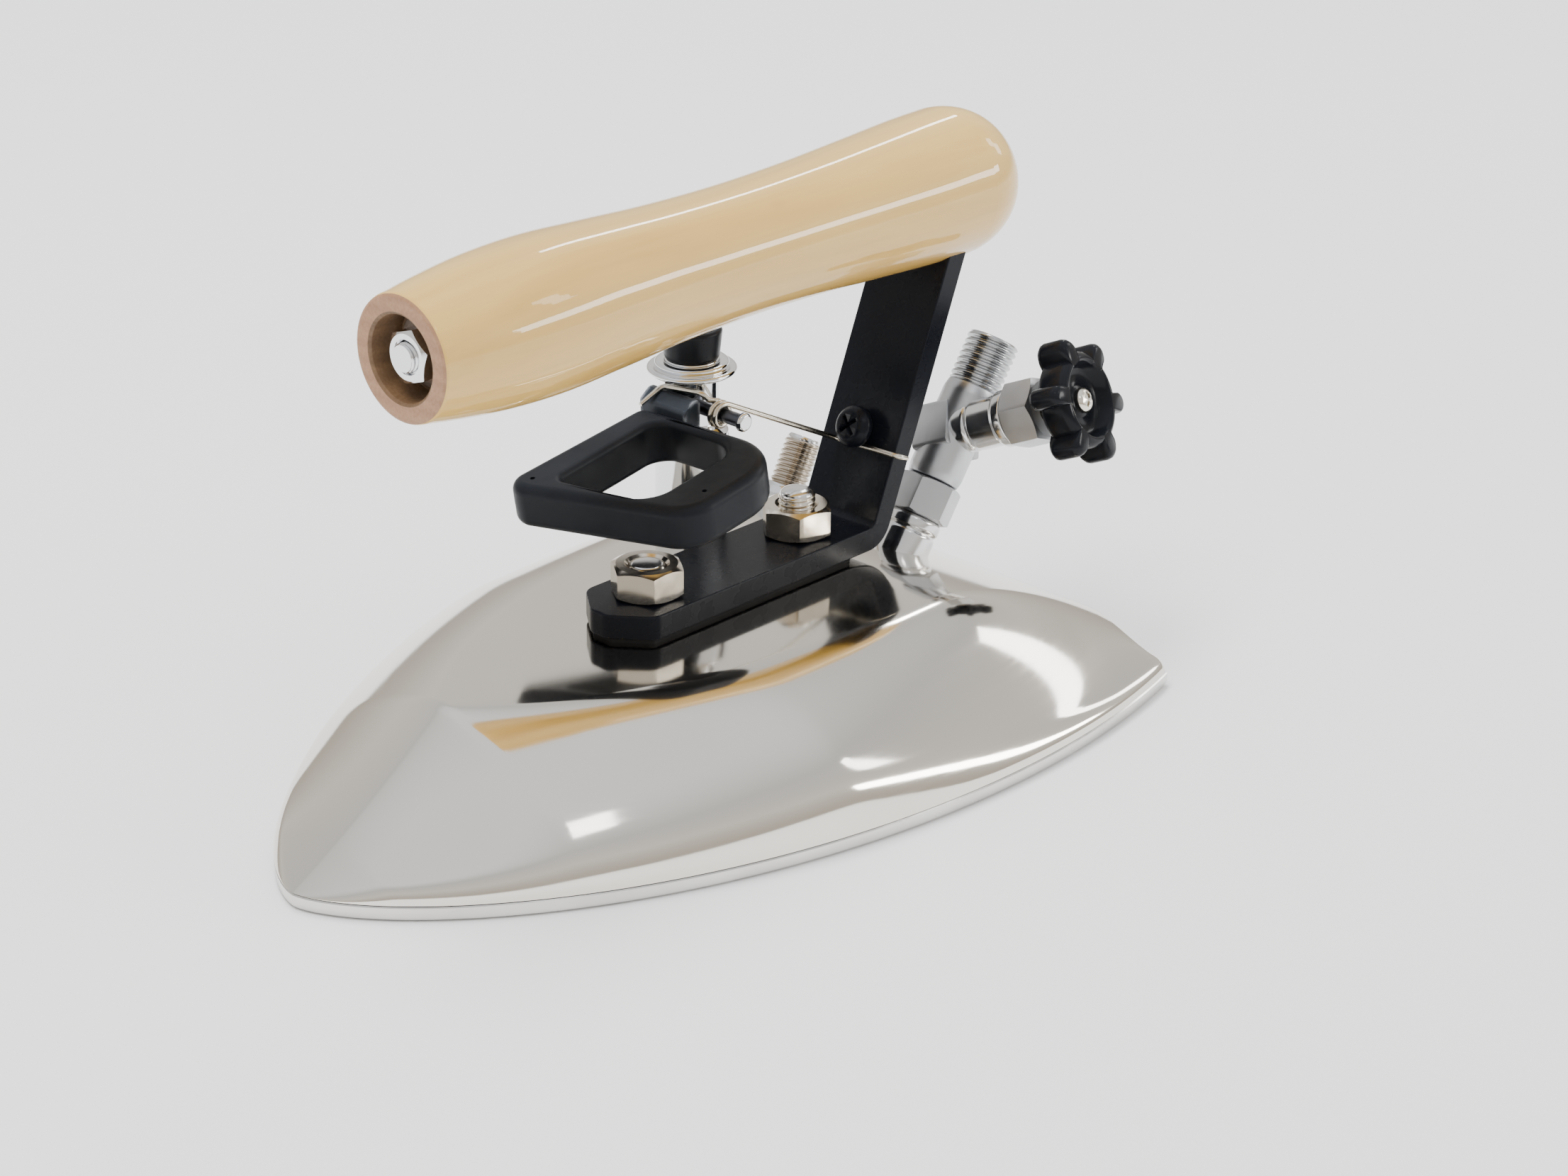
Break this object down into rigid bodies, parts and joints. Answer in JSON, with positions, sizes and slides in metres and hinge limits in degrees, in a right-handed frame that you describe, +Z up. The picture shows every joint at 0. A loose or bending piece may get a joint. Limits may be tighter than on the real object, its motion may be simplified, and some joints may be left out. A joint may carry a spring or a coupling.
{
  "type": "steam pressing iron",
  "caption": "Boiler-fed pressing iron: stainless body, perforated sole, turned wooden handle on a bent bracket, pull lever for steam, inlet valve with handwheel, drain nipple.",
  "frame": {"origin": "middle of the sole face, at mid length of the sole", "axes": "+X from the toe to the heel, +Z up from the sole, +Y to the side that holds the steam valve tower"},
  "size_m": [0.2096, 0.1332, 0.1212],
  "materials": {
    "body_shell": "mirror-polished stainless steel",
    "sole_plate": "polished stainless steel",
    "chest": "as cast",
    "bracket": "satin black paint",
    "gasket": "matte",
    "nickel": "bright nickel plate",
    "chrome": "bright chrome plate",
    "handle": "glossy clear lacquer on pale maple",
    "loop": "satin moulded rubber",
    "cap": "satin black",
    "lever": "black paint worn to bare steel",
    "spring": "drawn wire",
    "valve_casting": "satin cast and plated",
    "port": "bright stainless",
    "handwheel": "glossy black moulding",
    "brass": "machined",
    "packing": "braided packing"
  },
  "bodies": {
    "iron": {"sole_plate": "sole_plate", "chest_floor": "chest", "steam_chest": "chest", "body_shell": "body_shell", "bracket_gasket": "gasket", "handle_bracket": "bracket", "front_stud": "nickel", "rear_stud": "nickel", "front_nut": "nickel", "rear_nut": "nickel", "wooden_handle": "handle", "handle_rod": "chrome", "handle_nut": "chrome", "handle_washer": "chrome", "valve_tower": "chrome", "gland_ring": "chrome", "tower_cap": "cap", "valve_seat": "brass", "stem_packing": "packing", "packing_gland": "brass", "stem_spring": "spring", "delivery_tube": "brass", "lever_pin": "chrome", "return_spring": "spring", "spring_screw": "bracket", "inlet_boss": "port", "inlet_nut": "valve_casting", "regulator_body": "valve_casting", "bonnet_nut": "valve_casting", "bonnet_packing": "packing", "drain_boss": "port", "drain_nipple": "nickel"},
    "lever": {"finger_loop": "loop", "lever_arm": "lever"},
    "stem": {"valve_stem": "chrome"},
    "wheel": {"regulator_needle": "brass", "spindle": "nickel", "handwheel": "handwheel", "handwheel_screw": "nickel"}
  },
  "joints": [
    {"name": "steam_lever", "type": "hinge", "parent": "iron", "child": "lever", "pos_m": [0.0281, 0.021, 0.065], "axis": [0, 1, 0], "range_deg": [0, 10], "stiffness_Nm_per_rad": 0.3, "springref_deg": -28.65, "deforming": ["return_spring"]},
    {"name": "valve_stem_slide", "type": "slide", "parent": "iron", "child": "stem", "axis": [0, 0, -1], "range_m": [0, 0.0007], "deforming": ["stem_spring"]},
    {"name": "handwheel_turn", "type": "hinge", "parent": "iron", "child": "wheel", "pos_m": [0.08903, -0.0042, 0.04772], "axis": [0.2095, -0.8931, 0.398], "range_deg": [0, 720]}
  ],
  "couplings": [
    {"joint": "valve_stem_slide", "follows": "steam_lever", "m_per_rad": 0.0037}
  ]
}
